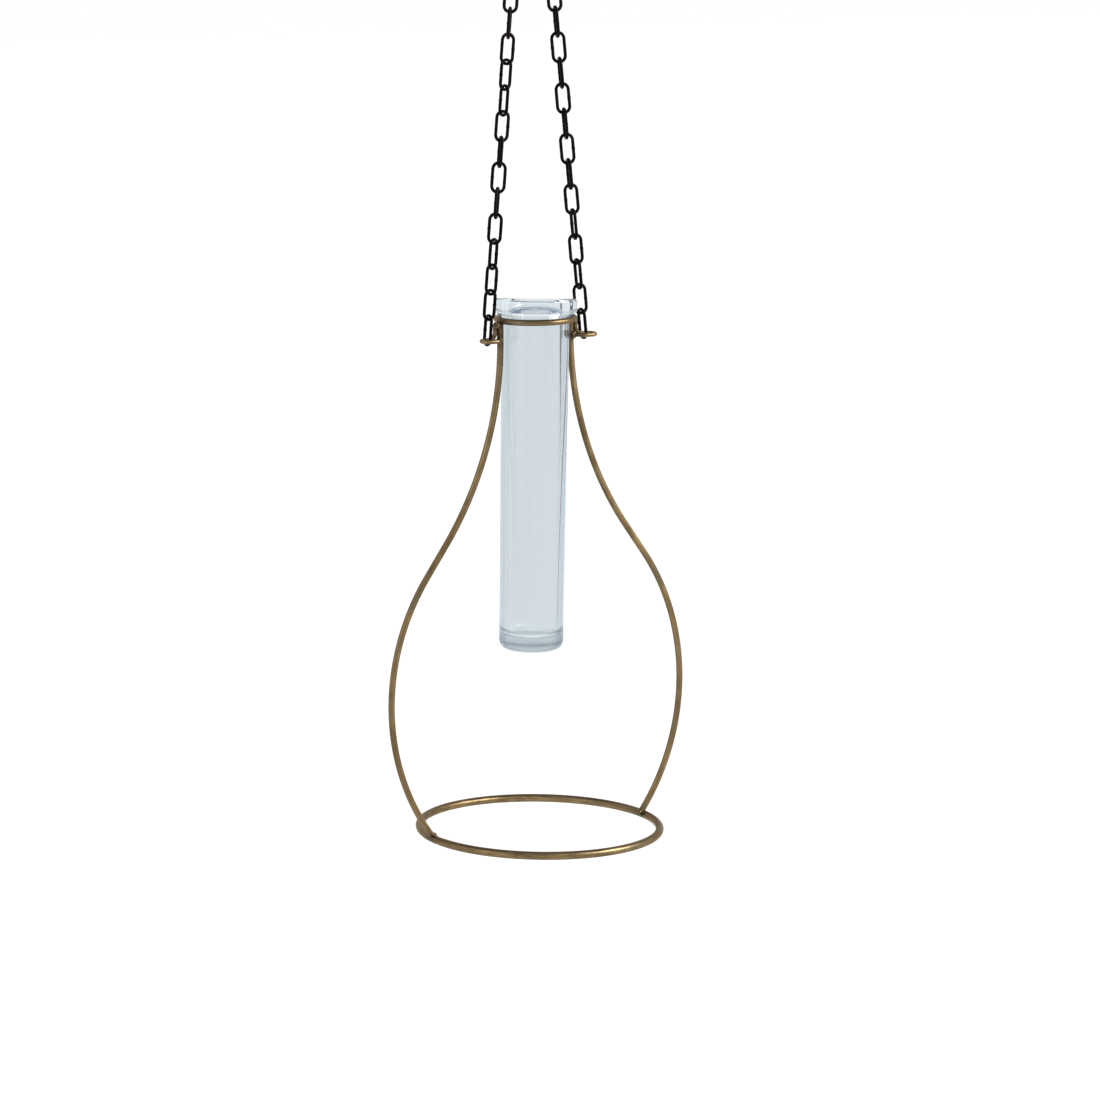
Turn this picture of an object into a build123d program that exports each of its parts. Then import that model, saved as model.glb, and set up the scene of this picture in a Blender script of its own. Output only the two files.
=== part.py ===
from build123d import *
from math import asin, atan, cos, pi, radians, sin, tan
import os

# Hanging wall vase: a glass tube in a brass wire frame, hung on a chain of oval links.
# Millimetres, +Z up, +X from the left eye to the right eye, the wall behind at +Y.
# The origin is where the wall hook bears, under the upper bar of the chain's top link.

# Chain
link_wire = 1.4
link_inside_width = 3.8
link_pitch = 10.64
link_play = 0.25
links_per_side = 21
hanger_spacing = 6.0
left_twist = 10.5
left_slip = 20.0
left_turn = 180.0
right_twist = -18.0

# Eyes of the frame, one for each chain
eye_wire = 1.9
eye_spacing = 46.2
eye_reach = 3.5
eye_depth = 5.8
eye_bowl = 2.6
eye_bend = 3.2
eye_return = 1.6
eye_drop = 7.8
stem_gap = 0.05

# Collar ring, side wires and base ring
collar_radius = 16.4
collar_wire = 2.6
side_wire = 2.8
side_radius = 16.8
neck_straight = 7.7
flare_straight = 15.7
bulge_radius = 70.3
bulge_drop = 161.6
base_radius = 51.9
base_wire = 3.5
base_drop = 220.5
base_lean = 1.6
left_foot_inset = 0.6
right_foot_inset = 2.2

# Beads of filler metal at the brazed joints
collar_bead = 2.1
eye_bead = 1.5
foot_bead = 2.2

# Glass tube, its heights measured from the collar's plane
neck_radius = 14.45
foot_radius = 13.7
bore_radius = 11.3
tube_drop = 141.7
floor_thickness = 6.0
lip_radius = 17.65
lip_top = 8.6
lip_slope = 38.0
foot_corner = 4.0
floor_corner = 4.0
neck_corner = 1.0
lip_corner = 1.2
lip_round = 1.6
mouth_slant = 4.5
mouth_heading = 241.4
tube_lean = 1.4
seat_clearance = 0.12

# Lines that the pieces share
chain_lean = asin((eye_spacing - hanger_spacing) / 2 / (links_per_side * link_pitch))
crown_radius = (link_inside_width + link_wire) / 2
link_straight = link_pitch + link_play + link_wire - 2 * crown_radius
first_seat = link_play / 2 - link_inside_width
last_seat = first_seat - links_per_side * link_pitch * cos(chain_lean)
eye_height = last_seat + (eye_wire + link_play) / 2 * cos(chain_lean)
collar_height = eye_height + eye_drop

os.makedirs("parts", exist_ok=True)


def write(piece, name):
    piece.part.label = name
    export_step(piece.part, f"parts/{name}.step")


def link_roll(side, number):
    """Every other link stands edge on. The left chain makes a half turn on its way up, the right one only sways."""
    from_eye = links_per_side - number
    edge_on = 90 * (number % 2)
    if side < 0:
        slip = left_slip * min(max(from_eye - links_per_side // 2, 0), 2) / 2
        return edge_on + min(left_twist * from_eye + slip, left_turn)
    return edge_on + right_twist * sin(pi * from_eye / (links_per_side - 1))


def chain_plane(side, number):
    """The plane of one link, its y axis up along the chain and turned about it by the link's roll."""
    roll = radians(link_roll(side, number))
    down = Vector(side * sin(chain_lean), 0, -cos(chain_lean))
    level = Vector(cos(chain_lean), 0, side * sin(chain_lean))
    across = level * cos(roll) + Vector(0, 1, 0) * sin(roll)
    start = Vector(side * hanger_spacing / 2, 0, first_seat)
    return Plane(start + down * link_pitch * (number - 0.5), x_dir=across, z_dir=down.cross(across))


def chain_link(plane):
    """One oval link of round wire, bent in the plane with its length along the plane's y axis."""
    half = link_straight / 2
    with BuildPart() as link:
        with BuildLine(plane) as oval:
            Line((crown_radius, -half), (crown_radius, half))
            ThreePointArc((crown_radius, half), (0, crown_radius + half), (-crown_radius, half))
            Line((-crown_radius, half), (-crown_radius, -half))
            ThreePointArc((-crown_radius, -half), (0, -crown_radius - half), (crown_radius, -half))
        with BuildSketch(Plane(oval.wire() @ 0, z_dir=oval.wire() % 0)):
            Circle(link_wire / 2)
        sweep(path=oval.wire())
    return link


def side_plane(side):
    """The chain's plane seen from the front, with x pointing out to one side from the collar's centre."""
    return Plane((0, 0, collar_height), x_dir=(side, 0, 0), z_dir=(0, -side, 0))


# Chain: the top link lies level on the hook, and the others hang from its lower bar
write(chain_link(Plane((0, 0, -link_inside_width / 2), x_dir=(0, 0, 1), z_dir=(0, 1, 0))), "top_link")
for side, side_name in ((-1, "left"), (1, "right")):
    for number in range(1, links_per_side + 1):
        write(chain_link(chain_plane(side, number)), f"{side_name}_link_{number:02d}")

# Collar ring
with BuildPart(Plane((0, 0, collar_height))) as collar_ring:
    Torus(collar_radius, collar_wire / 2)
write(collar_ring, "collar_ring")

# Base ring, which hangs a little lower on the right
base_tilt = Vector(sin(radians(base_lean)), 0, cos(radians(base_lean)))
with BuildPart(Plane((0, 0, collar_height - base_drop), z_dir=base_tilt)) as base_ring:
    Torus(base_radius, base_wire / 2)
write(base_ring, "base_ring")


def foot_reach(side):
    return base_radius - (left_foot_inset if side < 0 else right_foot_inset)


def foot_drop(side):
    return base_drop + side * foot_reach(side) * tan(radians(base_lean))


def bent_side_wire(side):
    """Straight neck, shoulder arc, straight flare and bulge arc from the collar down to the base ring."""
    rise, inward = foot_drop(side) - bulge_drop, bulge_radius - foot_reach(side)
    bulge_arc = (rise**2 + inward**2) / (2 * inward)
    outward, drop = bulge_radius - side_radius, bulge_drop - neck_straight
    flare = 2 * atan(outward / (drop + flare_straight))
    shoulder_arc = (drop - flare_straight * cos(flare)) / sin(flare) - bulge_arc
    shoulder = (side_radius, -neck_straight - shoulder_arc * tan(flare / 2))
    flare_end = (bulge_radius - bulge_arc * (1 - cos(flare)), -bulge_drop + bulge_arc * sin(flare))
    with BuildPart() as wire:
        with BuildLine(side_plane(side)) as path:
            FilletPolyline((side_radius, 0), shoulder, flare_end, radius=shoulder_arc)
            ThreePointArc(flare_end, (bulge_radius, -bulge_drop), (foot_reach(side), -foot_drop(side)))
        with BuildSketch(Plane(path.wire() @ 0, z_dir=path.wire() % 0)):
            Circle(side_wire / 2)
        sweep(path=path.wire())
        add(collar_ring.part, mode=Mode.SUBTRACT)
        add(base_ring.part, mode=Mode.SUBTRACT)
    return wire


def bent_eye(side, wire):
    """Stem beside the side wire, hook bar in the chain's plane, bowl to the front and back to the wire."""
    stem = side_radius + (side_wire + eye_wire) / 2 + stem_gap
    outer = eye_spacing / 2 + eye_reach
    inner = stem + eye_bend / 2
    route = [
        (stem, 0, collar_height - (collar_wire + eye_wire) / 2),
        (stem, 0, eye_height),
        (outer, 0, eye_height),
        (outer, -eye_depth, eye_height),
        (inner, -eye_depth, eye_height),
        (side_radius, 0, eye_height),
    ]
    with BuildPart() as eye:
        with BuildLine() as path:
            bends = [eye_bend, eye_bowl, eye_bowl, eye_return]
            FilletPolyline(*[(side * x, y, z) for x, y, z in route], radius=bends)
        with BuildSketch(Plane(path.wire() @ 0, z_dir=path.wire() % 0)):
            Circle(eye_wire / 2)
        sweep(path=path.wire())
        add(wire.part, mode=Mode.SUBTRACT)
    return eye


# Side wires and eyes
frame_pieces = [collar_ring, base_ring]
for side, side_name in ((-1, "left"), (1, "right")):
    wire = bent_side_wire(side)
    eye = bent_eye(side, wire)
    write(wire, f"{side_name}_side_wire")
    write(eye, f"{side_name}_eye")
    frame_pieces += [wire, eye]

# Beads of filler metal, each shaped by the wires that it joins
with BuildPart() as braze_beads:
    for side in (-1, 1):
        with Locations((side * (side_radius + eye_wire / 2), 0, collar_height - collar_wire * 0.7)):
            Sphere(collar_bead)
        with Locations((side * (side_radius + side_wire * 0.3), -side_wire * 0.45, eye_height)):
            Sphere(eye_bead)
        with Locations((side * foot_reach(side), 0, collar_height - foot_drop(side) + base_wire / 2)):
            Sphere(foot_bead)
    add([piece.part for piece in frame_pieces], mode=Mode.SUBTRACT)
write(braze_beads, "braze_beads")

# Glass tube: it leans in the collar, so the slope under its lip keeps that much clear of the ring
lean = radians(tube_lean)
slope = radians(lip_slope)
seat_gap = seat_clearance + collar_radius * sin(lean) * cos(slope)


def lip_underside(radius):
    return (collar_wire / 2 + seat_gap) / cos(slope) + (radius - collar_radius) * tan(slope)


tube_plane = Plane((0, 0, collar_height), x_dir=(cos(lean), 0, -sin(lean)), z_dir=(0, -1, 0))
floor_height = floor_thickness - tube_drop
blank_top = lip_top + lip_radius

# The mouth is finished on a slant, with its high side towards the front left
slant = radians(mouth_slant)
heading = radians(mouth_heading)
mouth_rise = Vector(-sin(slant) * cos(heading), -sin(slant) * sin(heading), cos(slant))
mouth_plane = Plane(tube_plane.origin + tube_plane.y_dir * lip_top, z_dir=mouth_rise)
with BuildPart() as glass_tube:
    with BuildSketch(tube_plane):
        with BuildLine():
            FilletPolyline(
                (0, -tube_drop),
                (foot_radius, -tube_drop),
                (neck_radius, lip_underside(neck_radius)),
                (lip_radius, lip_underside(lip_radius)),
                (lip_radius, blank_top),
                radius=[foot_corner, neck_corner, lip_corner],
            )
            Line((lip_radius, blank_top), (bore_radius, blank_top))
            FilletPolyline((bore_radius, blank_top), (bore_radius, floor_height), (0, floor_height), radius=floor_corner)
            Line((0, floor_height), (0, -tube_drop))
        make_face()
    revolve(axis=Axis(tube_plane.origin, tube_plane.y_dir))
    split(bisect_by=mouth_plane, keep=Keep.BOTTOM)
    fillet(faces().filter_by(GeomType.PLANE).sort_by(Axis.Z)[-1].edges(), radius=lip_round)
write(glass_tube, "glass_tube")
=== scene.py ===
"""Hanging wall vase: glass tube, brass wire frame and blackened chain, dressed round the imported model."""

from math import asin, atan, atan2, cos, degrees, hypot, pi, radians, sin, tan

import bmesh
import bpy
from mathutils import Matrix, Quaternion, Vector


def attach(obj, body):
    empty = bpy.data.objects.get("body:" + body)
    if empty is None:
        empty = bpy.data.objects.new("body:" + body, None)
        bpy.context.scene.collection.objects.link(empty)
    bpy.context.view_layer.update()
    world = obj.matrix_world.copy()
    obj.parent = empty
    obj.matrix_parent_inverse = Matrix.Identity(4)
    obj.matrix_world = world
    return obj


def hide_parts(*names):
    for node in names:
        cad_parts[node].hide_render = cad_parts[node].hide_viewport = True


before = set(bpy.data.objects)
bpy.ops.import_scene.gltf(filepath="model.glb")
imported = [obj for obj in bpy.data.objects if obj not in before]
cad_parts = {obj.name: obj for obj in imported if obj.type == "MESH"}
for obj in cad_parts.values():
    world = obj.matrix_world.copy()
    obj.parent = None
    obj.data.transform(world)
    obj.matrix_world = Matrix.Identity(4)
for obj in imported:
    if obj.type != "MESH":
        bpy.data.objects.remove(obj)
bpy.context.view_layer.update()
mm = 0.001

# Sizes of the part, in millimetres
LINK_WIRE, LINK_WIDTH, LINK_PITCH, LINK_PLAY, LINKS = 1.4, 3.8, 10.64, 0.25, 21
HANGER_SPACING, EYE_SPACING = 6.0, 46.2
LEFT_TWIST, LEFT_SLIP, LEFT_TURN, RIGHT_TWIST = 10.5, 20.0, 180.0, -18.0
EYE_WIRE, EYE_REACH, EYE_DEPTH, EYE_BOWL, EYE_BEND, EYE_RETURN = 1.9, 3.5, 5.8, 2.6, 3.2, 1.6
EYE_DROP, STEM_GAP = 7.8, 0.05
COLLAR_RADIUS, COLLAR_WIRE = 16.4, 2.6
SIDE_WIRE, SIDE_RADIUS, NECK_STRAIGHT, FLARE_STRAIGHT = 2.8, 16.8, 7.7, 15.7
BULGE_RADIUS, BULGE_DROP = 70.3, 161.6
BASE_RADIUS, BASE_WIRE, BASE_DROP, BASE_LEAN = 51.9, 3.5, 220.5, 1.6
LEFT_FOOT_INSET, RIGHT_FOOT_INSET = 0.6, 2.2
NECK_RADIUS, FOOT_RADIUS = 14.45, 13.7
BORE_RADIUS, BORE_DRAFT = 11.3, 0.6
TUBE_DROP, FLOOR_THICKNESS, LIP_RADIUS, LIP_TOP, LIP_SLOPE = 141.7, 6.0, 17.65, 8.6, 38.0
FOOT_CORNER, FLOOR_CORNER, NECK_CORNER, LIP_CORNER, LIP_ROUND = 4.0, 4.0, 1.0, 1.2, 1.6
MOUTH_SLANT, MOUTH_HEADING = 4.5, 241.4
TUBE_LEAN, SEAT_CLEARANCE = 1.4, 0.12

# Sizes of the scene alone. The rod is a shade under the solid wire, to stay inside the part's box
ROD_GAUGE = SIDE_WIRE * 0.985
BUTT_SINK = 0.93
WELD_REACH, WELD_SWELL, WELD_RIDGE = 0.7, 1.11, 1.04
COLLAR_LUMP, EYE_LUMP, FOOT_LUMP = (2.38, 1.89, 1.73), (1.40, 1.51, 1.84), (1.51, 1.62, 1.40)
LUMP_UNEVEN, LUMP_SEED = 0.22, 11

CHAIN_LEAN = asin((EYE_SPACING - HANGER_SPACING) / 2 / (LINKS * LINK_PITCH))
CROWN = (LINK_WIDTH + LINK_WIRE) / 2
LINK_STRAIGHT = LINK_PITCH + LINK_PLAY + LINK_WIRE - 2 * CROWN
FIRST_SEAT = LINK_PLAY / 2 - LINK_WIDTH
LAST_SEAT = FIRST_SEAT - LINKS * LINK_PITCH * cos(CHAIN_LEAN)
EYE_Z = LAST_SEAT + (EYE_WIRE + LINK_PLAY) / 2 * cos(CHAIN_LEAN)
COLLAR_Z = EYE_Z + EYE_DROP
SIDES = ((-1, "left"), (1, "right"))


def foot_reach(side):
    return BASE_RADIUS - (LEFT_FOOT_INSET if side < 0 else RIGHT_FOOT_INSET)


def foot_drop(side):
    return BASE_DROP + side * foot_reach(side) * tan(radians(BASE_LEAN))


# Wire bending


class BentWire:
    """A wire fed straight or bent a step at a time, as on a bending jig. Lengths in millimetres."""

    def __init__(self, name, start, heading, gauge, sides=20):
        bpy.ops.object.select_all(action="DESELECT")
        self.at, self.way = Vector(start), Vector(heading).normalized()
        turn = Vector((0, 0, 1)).rotation_difference(self.way).to_euler()
        bpy.ops.mesh.primitive_circle_add(
            vertices=sides, radius=gauge / 2 * mm, location=self.at * mm, rotation=turn
        )
        self.piece = bpy.context.active_object
        self.piece.name = self.piece.data.name = name
        bpy.ops.object.transform_apply(location=True, rotation=True, scale=True)
        bpy.ops.object.mode_set(mode="EDIT")
        bpy.ops.mesh.select_all(action="SELECT")

    def run(self, length, parts=1, swell=()):
        """A straight run, in equal parts. swell scales the wire's section at the end of each part."""
        step = self.way * length / parts
        for part in range(parts):
            bpy.ops.mesh.extrude_region_move(TRANSFORM_OT_translate={"value": step * mm})
            self.at += step
            if swell:
                size = swell[part]
                bpy.ops.transform.resize(value=(size,) * 3, center_override=self.at * mm)
        return self

    def bend(self, angle, radius, axis, parts):
        """A bend of that angle, in degrees, about an axis by the right-hand rule."""
        axis = Vector(axis).normalized()
        centre = self.at + axis.cross(self.way) * radius
        bpy.ops.mesh.spin(
            steps=parts, angle=-radians(angle), center=centre * mm, axis=axis, use_auto_merge=False
        )
        turn = Quaternion(axis, radians(angle))
        self.at = centre + turn @ (self.at - centre)
        self.way = turn @ self.way
        return self

    def done(self, closed=False):
        """Joins a closed wire's ends, or caps an open one's."""
        bpy.ops.mesh.select_all(action="SELECT")
        bpy.ops.mesh.remove_doubles(threshold=1e-6)
        if not closed:
            bpy.ops.mesh.select_all(action="DESELECT")
            bpy.ops.mesh.select_non_manifold()
            bpy.ops.mesh.edge_face_add()
        bpy.ops.mesh.select_all(action="SELECT")
        bpy.ops.mesh.normals_make_consistent(inside=False)
        bpy.ops.object.mode_set(mode="OBJECT")
        bpy.ops.object.shade_smooth_by_angle(angle=radians(40))
        return self.piece


def select_near(piece, test):
    """In edit mode, selects the vertices whose place, in millimetres, passes the test."""
    bpy.ops.mesh.select_mode(type="VERT")
    bpy.ops.mesh.select_all(action="DESELECT")
    mesh = bmesh.from_edit_mesh(piece.data)
    for vertex in mesh.verts:
        vertex.select_set(test(vertex.co / mm))
    mesh.select_flush(True)
    bmesh.update_edit_mesh(piece.data)


def settle(piece, matrix):
    """Moves a finished piece to its place and leaves its object at the origin."""
    bpy.ops.object.select_all(action="DESELECT")
    bpy.context.view_layer.objects.active = piece
    piece.select_set(True)
    piece.matrix_world = matrix
    bpy.ops.object.transform_apply(location=True, rotation=True, scale=True)
    return piece


def copy_of(piece, name):
    twin = piece.copy()
    twin.data = piece.data.copy()
    twin.name = twin.data.name = name
    bpy.context.scene.collection.objects.link(twin)
    return twin


# Brass frame


def side_rod(side, name):
    """Neck, shoulder bend, flare and the long bulge bend down into the base ring."""
    rise, inward = foot_drop(side) - BULGE_DROP, BULGE_RADIUS - foot_reach(side)
    bulge_arc = (rise**2 + inward**2) / (2 * inward)
    outward, drop = BULGE_RADIUS - SIDE_RADIUS, BULGE_DROP - NECK_STRAIGHT
    flare = 2 * atan(outward / (drop + FLARE_STRAIGHT))
    shoulder_arc = (drop - FLARE_STRAIGHT * cos(flare)) / sin(flare) - bulge_arc
    tuck = atan2(rise, bulge_arc - inward)
    rod = BentWire(name, (side * SIDE_RADIUS, 0, COLLAR_Z), (0, 0, -1), ROD_GAUGE, 24)
    rod.run(NECK_STRAIGHT, 3).bend(degrees(flare), shoulder_arc, (0, -side, 0), 36)
    rod.run(FLARE_STRAIGHT, 5).bend(degrees(flare + tuck), bulge_arc, (0, side, 0), 64)
    return rod.done()


def hoop(name, radius, gauge, joint_at, parts):
    """A wire ring, its two ends butted together and a little sunk where they meet."""
    turn = radians(joint_at)
    start = (radius * cos(turn), radius * sin(turn), 0)
    ring = BentWire(name, start, (-sin(turn), cos(turn), 0), gauge, 24)
    ring.bend(360, radius, (0, 0, 1), parts)
    piece = ring.done(closed=True)
    bpy.ops.object.mode_set(mode="EDIT")
    middle = Vector(start)
    select_near(piece, lambda place: abs(place.dot(ring.way)) < 0.05 and (place - middle).length < gauge)
    bpy.ops.transform.resize(value=(BUTT_SINK,) * 3, center_override=middle * mm)
    bpy.ops.object.mode_set(mode="OBJECT")
    return piece


def eye_hook(side, name):
    """Stem beside the side rod, bar that the chain hangs on, bowl to the front and back to the rod."""
    stem = SIDE_RADIUS + (SIDE_WIRE + EYE_WIRE) / 2 + STEM_GAP
    outer, inner = EYE_SPACING / 2 + EYE_REACH, stem + EYE_BEND / 2
    back_x, back_y = inner - SIDE_RADIUS, EYE_DEPTH
    turn = atan2(back_y, back_x)
    tangent = EYE_RETURN * tan(turn / 2)
    top = COLLAR_Z - (COLLAR_WIRE + EYE_WIRE) / 2
    flat = (0, 0, -side)
    eye = BentWire(name, (side * stem, 0, top), (0, 0, -1), EYE_WIRE, 20)
    eye.run(top - EYE_Z - EYE_BEND, 2).bend(90, EYE_BEND, (0, -side, 0), 10)
    eye.run(outer - stem - EYE_BEND - EYE_BOWL, 3).bend(90, EYE_BOWL, flat, 10)
    eye.run(EYE_DEPTH - 2 * EYE_BOWL).bend(90, EYE_BOWL, flat, 10)
    eye.run(outer - inner - EYE_BOWL - tangent, 2).bend(degrees(turn), EYE_RETURN, flat, 8)
    eye.run(hypot(back_x, back_y) - tangent, 3)
    return eye.done()


def braze_lumps(name):
    """Lumps of filler metal, as they froze round each joint of the frame."""
    joints = []
    for side, _ in SIDES:
        collar_joint = (side * (SIDE_RADIUS + EYE_WIRE / 2), 0, COLLAR_Z - COLLAR_WIRE * 0.7)
        eye_joint = (side * (SIDE_RADIUS + SIDE_WIRE * 0.3), -SIDE_WIRE * 0.45, EYE_Z)
        foot_joint = (side * foot_reach(side), 0, COLLAR_Z - foot_drop(side) + BASE_WIRE * 0.3)
        joints += [(collar_joint, COLLAR_LUMP), (eye_joint, EYE_LUMP), (foot_joint, FOOT_LUMP)]
    lumps = []
    for number, (place, reach) in enumerate(joints):
        bpy.ops.object.select_all(action="DESELECT")
        bpy.ops.mesh.primitive_ico_sphere_add(subdivisions=4, radius=mm)
        lump = bpy.context.active_object
        bpy.ops.object.mode_set(mode="EDIT")
        bpy.ops.mesh.select_all(action="SELECT")
        bpy.ops.transform.vertex_random(
            offset=LUMP_UNEVEN * mm, uniform=0.2, normal=0.9, seed=LUMP_SEED + number
        )
        bpy.ops.mesh.vertices_smooth(factor=0.5, repeat=3)
        bpy.ops.transform.resize(value=reach)
        bpy.ops.object.mode_set(mode="OBJECT")
        bpy.ops.object.shade_smooth()
        lumps.append(settle(lump, Matrix.Translation(Vector(place) * mm)))
    bpy.ops.object.select_all(action="DESELECT")
    for lump in lumps:
        lump.select_set(True)
    bpy.context.view_layer.objects.active = lumps[0]
    bpy.ops.object.join()
    lumps[0].name = lumps[0].data.name = name
    return lumps[0]


# Chain


def oval_link(name):
    """One link, bent round from a straight side with a butt weld in its middle."""
    half = LINK_STRAIGHT / 2
    wire = BentWire(name, (CROWN, 0, -half), (0, 0, 1), LINK_WIRE, 14)
    wire.run(half - WELD_REACH).run(WELD_REACH / 2, 1, (WELD_SWELL,))
    wire.run(WELD_REACH, 2, (WELD_RIDGE, 1 / WELD_RIDGE)).run(WELD_REACH / 2, 1, (1 / WELD_SWELL,))
    wire.run(half - WELD_REACH).bend(180, CROWN, (0, -1, 0), 14)
    wire.run(LINK_STRAIGHT, 2).bend(180, CROWN, (0, -1, 0), 14)
    link = wire.done(closed=True)
    fade_in = 1.5
    rub = link.data.attributes.new("rub", "FLOAT", "POINT")
    for vertex in link.data.vertices:
        x, _, z = vertex.co / mm
        past = abs(z) - half
        inside = CROWN - hypot(x, max(past, 0.0))
        in_crown = min(max(past / fade_in, 0.0), 1.0)
        rub.data[vertex.index].value = max(0.0, inside / (LINK_WIRE / 2)) * in_crown
    return link


def link_roll(side, number):
    from_eye = LINKS - number
    edge_on = 90 * (number % 2)
    if side < 0:
        slip = LEFT_SLIP * min(max(from_eye - LINKS // 2, 0), 2) / 2
        return edge_on + min(LEFT_TWIST * from_eye + slip, LEFT_TURN)
    return edge_on + RIGHT_TWIST * sin(pi * from_eye / (LINKS - 1))


def link_place(side, number):
    """Where a link hangs: its width along the first axis and its length along the third."""
    roll = radians(link_roll(side, number)) + (pi if number % 3 == 1 else 0)
    down = Vector((side * sin(CHAIN_LEAN), 0, -cos(CHAIN_LEAN)))
    level = Vector((cos(CHAIN_LEAN), 0, side * sin(CHAIN_LEAN)))
    across = level * cos(roll) + Vector((0, 1, 0)) * sin(roll)
    centre = Vector((side * HANGER_SPACING / 2, 0, FIRST_SEAT)) + down * LINK_PITCH * (number - 0.5)
    turn = Matrix((across, (-down).cross(across), -down)).transposed()
    return Matrix.Translation(centre * mm) @ turn.to_4x4()


# Glass tube


def tube_outline():
    """Corners of the section from the foot's middle to the floor's middle, and how each is rounded."""
    slope, lean = radians(LIP_SLOPE), radians(TUBE_LEAN)
    seat = COLLAR_WIRE / 2 + SEAT_CLEARANCE + COLLAR_RADIUS * sin(lean) * cos(slope)

    def under(radius):
        return seat / cos(slope) + (radius - COLLAR_RADIUS) * tan(slope)

    floor = FLOOR_THICKNESS - TUBE_DROP
    return [
        ((0, -TUBE_DROP), 0),
        ((FOOT_RADIUS, -TUBE_DROP), FOOT_CORNER),
        ((NECK_RADIUS, under(NECK_RADIUS)), NECK_CORNER),
        ((LIP_RADIUS, under(LIP_RADIUS)), LIP_CORNER),
        ((LIP_RADIUS, LIP_TOP), LIP_ROUND),
        ((BORE_RADIUS + BORE_DRAFT, LIP_TOP), LIP_ROUND),
        ((BORE_RADIUS - BORE_DRAFT, floor), FLOOR_CORNER),
        ((0, floor), 0),
    ]


def drawn_tube(name):
    """Section drawn point by point, its corners rounded, turned round the axis, and the mouth set aslant."""
    outline = tube_outline()
    corners = [Vector((x, 0, z)) for (x, z), _ in outline]
    bpy.ops.object.select_all(action="DESELECT")
    bpy.ops.mesh.primitive_plane_add(size=mm)
    tube = bpy.context.active_object
    tube.name = tube.data.name = name
    bpy.ops.object.mode_set(mode="EDIT")
    bpy.ops.mesh.select_all(action="SELECT")
    bpy.ops.mesh.merge(type="CENTER")
    bpy.ops.transform.translate(value=corners[0] * mm)
    for before, corner in zip(corners, corners[1:]):
        bpy.ops.mesh.extrude_region_move(TRANSFORM_OT_translate={"value": (corner - before) * mm})
    for before, corner, after, (_, radius) in zip(corners, corners[1:], corners[2:], outline[1:]):
        turn = (corner - before).angle(after - corner)
        select_near(tube, lambda spot: (spot - corner).length < 0.01)
        bpy.ops.mesh.bevel(offset=radius * tan(turn / 2) * mm, segments=10, affect="VERTICES")
    select_near(tube, lambda spot: spot.x > 1.0)
    bpy.ops.mesh.select_mode(type="EDGE")
    mesh = bmesh.from_edit_mesh(tube.data)
    for painted_edge_shade in mesh.edges:
        painted_edge_shade.select_set(painted_edge_shade.calc_length() > 12 * mm and min(end.co.x for end in painted_edge_shade.verts) > 5 * mm)
    bmesh.update_edit_mesh(tube.data)
    bpy.ops.mesh.subdivide(number_cuts=24)
    bpy.ops.mesh.select_all(action="SELECT")
    bpy.ops.mesh.spin(steps=144, angle=2 * pi, center=(0, 0, 0), axis=(0, 0, 1))
    bpy.ops.mesh.select_all(action="SELECT")
    bpy.ops.mesh.remove_doubles(threshold=1e-6)
    bpy.ops.mesh.normals_make_consistent(inside=False)
    select_near(tube, lambda spot: spot.z > LIP_TOP - 1.05 * LIP_ROUND)
    mouth = (0, 0, LIP_TOP * mm)
    bpy.ops.transform.rotate(value=radians(MOUTH_SLANT), orient_axis="X", center_override=mouth)
    bpy.ops.object.mode_set(mode="OBJECT")
    bpy.ops.object.shade_smooth()
    lean = Matrix.Rotation(radians(TUBE_LEAN), 4, "Y")
    heading = Matrix.Rotation(radians(MOUTH_HEADING - 270), 4, "Z")
    return settle(tube, Matrix.Translation((0, 0, COLLAR_Z * mm)) @ lean @ heading)


# Finishes


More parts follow.
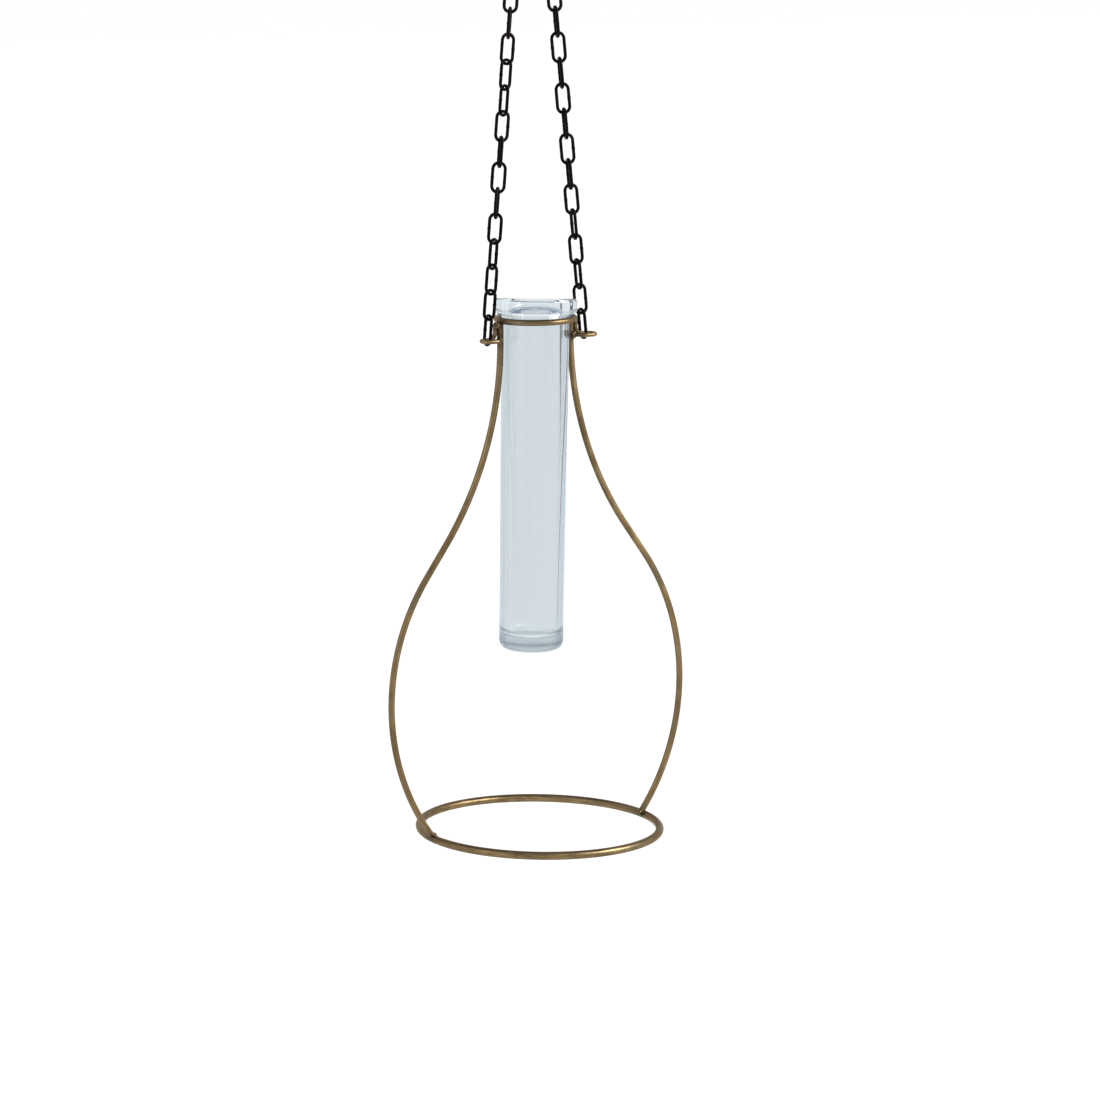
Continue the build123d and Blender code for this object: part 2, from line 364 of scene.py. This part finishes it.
class Shading:
    """A node tree built up from small steps."""

    def __init__(self, owner):
        owner.use_nodes = True
        self.nodes, self.links = owner.node_tree.nodes, owner.node_tree.links
        self.nodes.clear()

    def add(self, kind, **settings):
        node = self.nodes.new(kind)
        for key, value in settings.items():
            setattr(node, key, value)
        return node

    def feed(self, socket, value):
        if isinstance(value, bpy.types.NodeSocket):
            self.links.new(value, socket)
        else:
            socket.default_value = value

    def maths(self, operation, *values):
        node = self.add("ShaderNodeMath", operation=operation)
        for socket, value in zip(node.inputs, values):
            self.feed(socket, value)
        return node.outputs["Value"]

    def stretch(self, vector, scale, rotation=(0, 0, 0), location=(0, 0, 0)):
        node = self.add("ShaderNodeMapping")
        self.feed(node.inputs["Vector"], vector)
        node.inputs["Scale"].default_value = scale
        node.inputs["Rotation"].default_value = rotation
        node.inputs["Location"].default_value = location
        return node.outputs["Vector"]

    def noise(self, vector, scale, detail=3.0, rough=0.5):
        node = self.add("ShaderNodeTexNoise")
        self.feed(node.inputs["Vector"], vector)
        node.inputs["Scale"].default_value = scale
        node.inputs["Detail"].default_value = detail
        node.inputs["Roughness"].default_value = rough
        return node.outputs["Fac"]

    def span(self, value, low, high, to_low=0.0, to_high=1.0):
        """to_low up to low, to_high from high on, and a smooth step between them."""
        node = self.add("ShaderNodeMapRange", interpolation_type="SMOOTHSTEP")
        for name, number in (("From Min", low), ("From Max", high), ("To Min", to_low), ("To Max", to_high)):
            node.inputs[name].default_value = number
        self.feed(node.inputs["Value"], value)
        return node.outputs["Result"]

    def shades(self, value, *stops):
        """Colours along a ramp: pairs of position and linear colour."""
        node = self.add("ShaderNodeValToRGB")
        ramp = node.color_ramp
        while len(ramp.elements) < len(stops):
            ramp.elements.new(1.0)
        for element, (position, colour) in zip(ramp.elements, stops):
            element.position = position
            element.color = (*colour, 1.0)
        self.feed(node.inputs["Fac"], value)
        return node.outputs["Color"]

    def blend(self, amount, first, second):
        node = self.add("ShaderNodeMix", data_type="RGBA")
        self.feed(node.inputs["Factor"], amount)
        for socket, value in zip((node.inputs[6], node.inputs[7]), (first, second)):
            self.feed(socket, (*value, 1.0) if isinstance(value, tuple) else value)
        return node.outputs[2]

    def seen(self):
        """1 for what the camera sees, straight or by way of gloss and glass, and otherwise 0."""
        rays = self.add("ShaderNodeLightPath").outputs
        shown = self.maths("MAXIMUM", rays["Is Camera Ray"], rays["Is Glossy Ray"])
        return self.maths("MAXIMUM", shown, rays["Is Transmission Ray"])


class Finish(Shading):
    """A material. place is a point of the piece, in metres."""

    def __init__(self, name):
        self.material = bpy.data.materials.new(name)
        super().__init__(self.material)
        self.output = self.add("ShaderNodeOutputMaterial")
        self.skin = self.add("ShaderNodeBsdfPrincipled")
        self.links.new(self.skin.outputs["BSDF"], self.output.inputs["Surface"])
        self.place = self.add("ShaderNodeTexCoord").outputs["Object"]

    def relief(self, height, strength, distance):
        node = self.add("ShaderNodeBump")
        node.inputs["Strength"].default_value = strength
        node.inputs["Distance"].default_value = distance
        self.feed(node.inputs["Height"], height)
        self.feed(self.skin.inputs["Normal"], node.outputs["Normal"])

    def near(self, places, reach):
        """1 at the given places, in millimetres, falling to 0 a reach away."""
        nearest = None
        for place in places:
            node = self.add("ShaderNodeVectorMath", operation="DISTANCE")
            self.feed(node.inputs[0], self.place)
            node.inputs[1].default_value = Vector(place) * mm
            gap = node.outputs["Value"]
            nearest = gap if nearest is None else self.maths("MINIMUM", nearest, gap)
        return self.span(nearest, 0.0, reach * mm, 1.0, 0.0)


JOINT_SPOTS = [(side * foot_reach(side), 0, COLLAR_Z - foot_drop(side)) for side, _ in SIDES]
JOINT_SPOTS += [(side * SIDE_RADIUS, 0, COLLAR_Z - 1) for side, _ in SIDES]
JOINT_SPOTS += [(side * SIDE_RADIUS, 0, EYE_Z) for side, _ in SIDES]


def aged_brass(name, grain):
    """Satin brass gone brown and olive, with painted shade on the faces of a wire that look up or down. grain
    turns places into the wire's own directions.
    """
    brass = Finish(name)
    along = grain(brass)
    streaks = brass.noise(along, 1.0, 4.0, 0.62)
    fine = brass.noise(along, 3.1, 2.0, 0.5)
    clouds = brass.noise(brass.place, 95.0, 3.0, 0.55)
    drawn = brass.maths("MULTIPLY", streaks, 0.62)
    tone = brass.maths("ADD", drawn, brass.maths("MULTIPLY", clouds, 0.38))
    colour = brass.shades(
        tone,
        (0.30, (0.052, 0.030, 0.009)),
        (0.45, (0.132, 0.085, 0.033)),
        (0.55, (0.190, 0.127, 0.051)),
        (0.70, (0.33, 0.232, 0.100)),
    )
    olive = brass.span(brass.noise(brass.place, 40.0, 2.0), 0.5, 0.72, 0.0, 0.55)
    colour = brass.blend(olive, colour, (0.135, 0.110, 0.062))
    patchy = brass.span(clouds, 0.25, 0.6, 0.35, 1.0)
    scorch = brass.maths("MULTIPLY", brass.near(JOINT_SPOTS, 8.0), patchy)
    colour = brass.blend(brass.maths("MULTIPLY", scorch, 0.8), colour, (0.045, 0.03, 0.016))
    # Painted shade: faces of the wire that look up or down are darkened to dark brown by the slope of the
    # surface, standing in for shading across the wire.
    upright = brass.add("ShaderNodeSeparateXYZ")
    brass.feed(upright.inputs["Vector"], brass.add("ShaderNodeTexCoord").outputs["Normal"])
    painted_shade_up_down = brass.span(brass.maths("ABSOLUTE", upright.outputs["Z"]), 0.5, 0.98, 0.0, 0.55)
    colour = brass.blend(painted_shade_up_down, colour, (0.070, 0.042, 0.016))
    brass.feed(brass.skin.inputs["Base Color"], colour)
    brass.skin.inputs["Metallic"].default_value = 1.0
    brass.skin.inputs["Specular Tint"].default_value = (0.55, 0.45, 0.33, 1.0)
    satin = brass.span(fine, 0.3, 0.7, 0.31, 0.39)
    dull = brass.maths("ADD", satin, brass.maths("MULTIPLY", scorch, 0.2))
    brass.feed(brass.skin.inputs["Roughness"], dull)
    brass.skin.inputs["Coat Weight"].default_value = 0.45
    brass.skin.inputs["Coat Roughness"].default_value = 0.28
    brass.relief(brass.maths("ADD", fine, brass.maths("MULTIPLY", clouds, 0.6)), 0.12, 0.00012)
    return brass.material


def rod_grain(finish):
    """Along a side rod the height runs slowly and the depth quickly."""
    return finish.stretch(finish.place, (150.0, 1500.0, 16.0))


def hoop_grain(radius, height, lean):
    """Round a hoop: the angle runs slowly, the two directions of the section quickly."""

    def grain(finish):
        level = finish.stretch(finish.place, (1, 1, 1), (0, -radians(lean), 0), (0, 0, -height * mm))
        parts = finish.add("ShaderNodeSeparateXYZ")
        finish.feed(parts.inputs["Vector"], level)
        x, y, z = parts.outputs
        angle = finish.maths("ARCTAN2", y, x)
        squares = finish.maths("ADD", finish.maths("MULTIPLY", x, x), finish.maths("MULTIPLY", y, y))
        reach = finish.maths("SQRT", squares)
        joined = finish.add("ShaderNodeCombineXYZ")
        finish.feed(joined.inputs["X"], finish.maths("MULTIPLY", angle, radius * 0.016))
        finish.feed(joined.inputs["Y"], finish.maths("MULTIPLY", reach, 800.0))
        finish.feed(joined.inputs["Z"], finish.maths("MULTIPLY", z, 800.0))
        return joined.outputs["Vector"]

    return grain


def eye_grain(finish):
    return finish.stretch(finish.place, (420.0, 620.0, 620.0))


def braze_metal():
    braze = Finish("braze_metal")
    pits = braze.noise(braze.place, 1300.0, 3.0, 0.6)
    colour = braze.shades(
        pits,
        (0.30, (0.05, 0.034, 0.018)),
        (0.52, (0.12, 0.085, 0.044)),
        (0.64, (0.21, 0.165, 0.10)),
        (0.76, (0.62, 0.60, 0.54)),
    )
    braze.feed(braze.skin.inputs["Base Color"], colour)
    braze.skin.inputs["Metallic"].default_value = 1.0
    braze.feed(braze.skin.inputs["Roughness"], braze.span(pits, 0.3, 0.7, 0.55, 0.28))
    braze.relief(pits, 0.5, 0.0003)
    return braze.material


def blackened_iron():
    iron = Finish("blackened_iron")
    rub = iron.add("ShaderNodeAttribute", attribute_name="rub").outputs["Fac"]
    scale = iron.noise(iron.place, 900.0, 4.0, 0.6)
    patches = iron.noise(iron.place, 210.0, 2.0)
    colour = iron.shades(
        scale,
        (0.34, (0.001, 0.0008, 0.0008)),
        (0.6, (0.003, 0.0022, 0.002)),
        (0.78, (0.012, 0.008, 0.006)),
    )
    rust = iron.span(patches, 0.56, 0.74, 0.0, 0.5)
    colour = iron.blend(rust, colour, (0.022, 0.012, 0.008))
    worn = iron.maths("MULTIPLY", rub, iron.span(scale, 0.35, 0.6))
    colour = iron.blend(iron.maths("MULTIPLY", worn, 0.5), colour, (0.09, 0.072, 0.058))
    iron.feed(iron.skin.inputs["Base Color"], colour)
    iron.feed(iron.skin.inputs["Metallic"], iron.span(worn, 0.2, 0.8, 0.0, 0.9))
    iron.feed(iron.skin.inputs["Roughness"], iron.span(scale, 0.3, 0.7, 0.34, 0.52))
    iron.skin.inputs["Specular IOR Level"].default_value = 0.06
    iron.skin.inputs["Specular Tint"].default_value = (0.8, 0.72, 0.66, 1.0)
    iron.relief(scale, 0.25, 0.00012)
    return iron.material


def clear_glass():
    """Faintly blue glass, with painted shade where the outer wall is seen edge on, and less polished in the
    pressed foot.

    Rays that bounce too often in the wall meet a painted glow, an even blue-grey, in place of the glass.
    """
    most_bounces = 5.5
    glass = Finish("tube_glass")
    reams = glass.noise(glass.stretch(glass.place, (110.0, 110.0, 3.0)), 1.0, 2.0)
    tint = glass.shades(reams, (0.3, (0.785, 0.818, 0.830)), (0.7, (0.825, 0.855, 0.862)))
    heights = glass.add("ShaderNodeSeparateXYZ")
    glass.feed(heights.inputs["Vector"], glass.place)
    above = glass.maths("SUBTRACT", heights.outputs["Z"], COLLAR_Z * mm)
    aside = glass.maths("MULTIPLY", above, tan(radians(TUBE_LEAN)))
    x = glass.maths("SUBTRACT", heights.outputs["X"], aside)
    y = heights.outputs["Y"]
    squares = glass.maths("ADD", glass.maths("MULTIPLY", x, x), glass.maths("MULTIPLY", y, y))
    margin = 0.8
    reach = glass.maths("SQRT", squares)
    outside = glass.span(reach, (BORE_RADIUS + margin) * mm, (FOOT_RADIUS - margin) * mm)
    # Painted shade: the outer wall's tint turns dark blue-grey where it is seen edge on.
    painted_edge_shade = glass.span(glass.add("ShaderNodeLayerWeight").outputs["Facing"], 0.27, 0.5)
    tint = glass.blend(glass.maths("MULTIPLY", painted_edge_shade, outside), tint, (0.38, 0.46, 0.53))
    # Painted light: the tint is paler in the lip, so that the lip shows brighter.
    lip_painted_light = glass.span(heights.outputs["Z"], (COLLAR_Z + 1) * mm, (COLLAR_Z + 4) * mm)
    tint = glass.blend(lip_painted_light, tint, (0.93, 0.945, 0.95))
    glass.feed(glass.skin.inputs["Base Color"], tint)
    floor_z = COLLAR_Z - TUBE_DROP + FLOOR_THICKNESS
    pressed = glass.span(heights.outputs["Z"], floor_z * mm, (floor_z + 6) * mm, 0.3, 0.0)
    glass.feed(glass.skin.inputs["Roughness"], pressed)
    glass.skin.inputs["IOR"].default_value = 1.5
    glass.skin.inputs["Transmission Weight"].default_value = 1.0
    depth = glass.add("ShaderNodeVolumeAbsorption")
    depth.inputs["Color"].default_value = (0.30, 0.46, 0.55, 1.0)
    depth.inputs["Density"].default_value = 26.0
    glass.links.new(depth.outputs["Volume"], glass.output.inputs["Volume"])
    # Painted light: past five bounces the glass glows an even blue-grey instead of passing light on.
    painted_glow = glass.add("ShaderNodeEmission")
    painted_glow.inputs["Color"].default_value = (0.60, 0.67, 0.72, 1.0)
    trapped = glass.maths("GREATER_THAN", glass.add("ShaderNodeLightPath").outputs["Ray Depth"], most_bounces)
    mixed = glass.add("ShaderNodeMixShader")
    glass.feed(mixed.inputs[0], trapped)
    glass.links.new(glass.skin.outputs["BSDF"], mixed.inputs[1])
    glass.links.new(painted_glow.outputs["Emission"], mixed.inputs[2])
    glass.links.new(mixed.outputs["Shader"], glass.output.inputs["Surface"])
    return glass.material


# Making


def dress(piece, material, body, slot, *nodes):
    piece.data.materials.clear()
    piece.data.materials.append(material)
    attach(piece, body)
    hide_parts(*nodes)


collar_hoop = settle(
    hoop("collar_hoop", COLLAR_RADIUS, COLLAR_WIRE, 172, 96), Matrix.Translation((0, 0, COLLAR_Z * mm))
)
collar_brass = aged_brass("collar_brass", hoop_grain(COLLAR_RADIUS, COLLAR_Z, 0))
dress(collar_hoop, collar_brass, "frame", "aged_brass", "collar_ring")

base_z = COLLAR_Z - BASE_DROP
base_place = Matrix.Translation((0, 0, base_z * mm)) @ Matrix.Rotation(radians(BASE_LEAN), 4, "Y")
base_hoop = settle(hoop("base_hoop", BASE_RADIUS, BASE_WIRE, 186, 176), base_place)
base_brass = aged_brass("base_brass", hoop_grain(BASE_RADIUS, base_z, BASE_LEAN))
dress(base_hoop, base_brass, "frame", "aged_brass", "base_ring")

rod_brass = aged_brass("rod_brass", rod_grain)
eye_brass = aged_brass("eye_brass", eye_grain)
for side, side_name in SIDES:
    rod = side_rod(side, f"{side_name}_side_rod")
    dress(rod, rod_brass, "frame", "aged_brass", f"{side_name}_side_wire")
    eye = eye_hook(side, f"{side_name}_eye_hook")
    dress(eye, eye_brass, "frame", "aged_brass", f"{side_name}_eye")
dress(braze_lumps("braze_lumps"), braze_metal(), "frame", "braze", "braze_beads")

iron = blackened_iron()
pattern_link = oval_link("top_oval")
for side, side_name in SIDES:
    for number in range(1, LINKS + 1):
        oval = copy_of(pattern_link, f"{side_name}_oval_{number:02d}")
        settle(oval, link_place(side, number))
        dress(oval, iron, f"row_{number:02d}", "black_iron", f"{side_name}_link_{number:02d}")
settle(pattern_link, Matrix.Translation((0, 0, -LINK_WIDTH / 2 * mm)) @ Matrix.Rotation(pi / 2, 4, "Y"))
dress(pattern_link, iron, "hanger", "black_iron", "top_link")

tube = drawn_tube("drawn_tube")
dress(tube, clear_glass(), "tube", "clear_glass", "glass_tube")

# Studio

VIEW_FROM = Vector((-0.7297, -1.3485, COLLAR_Z * mm + 0.1808))
VIEW_BACK = Vector((-0.4712, -0.8635, 0.1797))
VIEW_ROLL, VIEW_ANGLE = -0.45, 17.113
FLOOR_SIZE, FLOOR_Z = 30, -0.75
camera = bpy.data.objects.new("camera", bpy.data.cameras.new("camera"))
bpy.context.scene.collection.objects.link(camera)
camera.location = VIEW_FROM
camera.rotation_mode = "QUATERNION"
camera.rotation_quaternion = VIEW_BACK.to_track_quat("Z", "Y") @ Quaternion((0, 0, 1), radians(VIEW_ROLL))
camera.data.angle = radians(VIEW_ANGLE)
camera.data.clip_start, camera.data.clip_end = 0.01, 100.0
bpy.context.scene.camera = camera

bpy.ops.object.select_all(action="DESELECT")
bpy.ops.mesh.primitive_plane_add(size=FLOOR_SIZE, location=(0, 0, FLOOR_Z))
floor = bpy.context.active_object
floor.name = "studio_floor"
paper = Finish("white_paper")
paper.skin.inputs["Base Color"].default_value = (0.3, 0.3, 0.3, 1.0)
paper.skin.inputs["Roughness"].default_value = 0.9
paper.skin.inputs["Specular IOR Level"].default_value = 0.0
paper.skin.inputs["Emission Color"].default_value = (1.0, 1.0, 1.0, 1.0)
paper.feed(paper.skin.inputs["Emission Strength"], paper.span(paper.seen(), 0.0, 1.0, 0.3, 0.95))
floor.data.materials.append(paper.material)


def softbox(name, place, aim, width, height, watts):
    lamp = bpy.data.lights.new(name, "AREA")
    lamp.shape = "RECTANGLE"
    lamp.size, lamp.size_y, lamp.energy = width, height, watts
    box = bpy.data.objects.new(name, lamp)
    bpy.context.scene.collection.objects.link(box)
    box.location = place
    box.rotation_mode = "QUATERNION"
    box.rotation_quaternion = (Vector(place) - Vector(aim)).to_track_quat("Z", "Y")


MIDDLE = (0, 0, -0.3)
softbox("key_box", (0.80, -0.76, 0.22), MIDDLE, 0.8, 0.6, 19.0)
softbox("strip_box", (-1.25, -0.30, 0.1), MIDDLE, 0.14, 0.9, 1.6)

world = bpy.data.worlds.new("studio")
bpy.context.scene.world = world
studio = Shading(world)
out = studio.add("ShaderNodeOutputWorld")
sky = studio.add("ShaderNodeBackground")
studio.links.new(sky.outputs["Background"], out.inputs["Surface"])
height = studio.add("ShaderNodeSeparateXYZ")
studio.feed(height.inputs["Vector"], studio.add("ShaderNodeTexCoord").outputs["Generated"])
ceiling = studio.shades(
    height.outputs["Z"],
    (0.0, (1.0, 1.0, 1.0)),
    (0.74, (1.0, 1.0, 1.0)),
    (0.80, (0.25, 0.28, 0.42)),
    (0.90, (0.25, 0.28, 0.42)),
    (0.96, (0.9, 0.9, 0.95)),
)
studio.feed(sky.inputs["Color"], ceiling)
studio.feed(sky.inputs["Strength"], studio.span(studio.seen(), 0.0, 1.0, 0.55, 1.0))

bpy.context.scene.view_settings.view_transform = "Standard"
